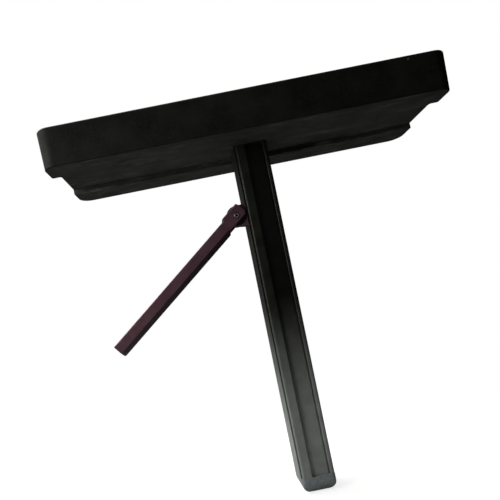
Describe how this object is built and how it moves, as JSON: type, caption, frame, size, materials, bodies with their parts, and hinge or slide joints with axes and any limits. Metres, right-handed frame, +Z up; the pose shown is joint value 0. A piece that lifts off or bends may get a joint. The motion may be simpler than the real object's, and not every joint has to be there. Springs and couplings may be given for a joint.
{
  "type": "visitor counter turnstile",
  "caption": "T-shaped entry post: a long moulded counter head on a slim channelled post, with a folding barrier arm hinged at the post's side.",
  "frame": {"origin": "middle of the foot's underside, on the post's axis and on the mouth of the floor stud's thread", "axes": "+Z up the post, +X along the head, the front faces -Y, the arm is on the -X side"},
  "size_m": [0.9862, 0.2903, 0.9895],
  "materials": {
    "black_cover_plastic": "fine moulded grain, near-black",
    "grey_base_plastic": "fine moulded grain, charcoal",
    "black_strip_plastic": "extruded, satin black",
    "black_coated_aluminium": "extruded, black powder coat",
    "grey_cast_aluminium": "cast, pale blue-grey satin paint",
    "plum_anodised_aluminium": "machined, plum anodised",
    "plum_plastic": "moulded, plum",
    "bright_screw_steel": "zinc plated",
    "inner_screw_steel": "zinc plated",
    "bracket_steel": "pressed steel, black coat",
    "bronze_bush": "sintered bronze",
    "black_disc_nylon": "moulded, graphite-filled black nylon",
    "circuit_board": "green solder mask",
    "battery_sleeve": "heat-shrunk sleeve",
    "sensor_resin": "potted block",
    "lead_jacket": "extruded jacket",
    "magnet_plating": "nickel plated"
  },
  "bodies": {
    "stand": {"head_cover": "black_cover_plastic", "cover_screws": "bright_screw_steel", "head_tray": "grey_base_plastic", "rear_rail": "grey_base_plastic", "rail_screws": "inner_screw_steel", "head_flange": "bracket_steel", "flange_screws": "inner_screw_steel", "collar_screws": "inner_screw_steel", "counter_board": "circuit_board", "board_standoffs": "inner_screw_steel", "board_screws": "inner_screw_steel", "battery_pack": "battery_sleeve", "battery_strap": "bracket_steel", "strap_screws": "inner_screw_steel", "post": "black_coated_aluminium", "channel_strip": "black_strip_plastic", "foot_plug": "grey_cast_aluminium", "foot_screws": "bright_screw_steel", "hinge_bracket": "plum_anodised_aluminium", "bracket_plate": "bracket_steel", "bracket_screws": "inner_screw_steel", "hall_sensor": "sensor_resin", "sensor_lead": "lead_jacket", "pivot_bush": "bronze_bush", "stop_pin": "bright_screw_steel"},
    "arm": {"arm_fork": "plum_anodised_aluminium", "arm_bar": "plum_anodised_aluminium", "arm_end_cap": "plum_plastic", "fork_screws": "bright_screw_steel", "pivot_pin": "bright_screw_steel", "spring_washer": "bright_screw_steel", "pivot_nut": "bright_screw_steel", "friction_washers": "black_disc_nylon", "angle_magnet": "magnet_plating"}
  },
  "joints": [
    {"name": "arm_swing", "type": "hinge", "parent": "stand", "child": "arm", "pos_m": [-0.069, -0.02665, 0.721], "axis": [0, 1, 0], "range_deg": [-52, 38]}
  ]
}
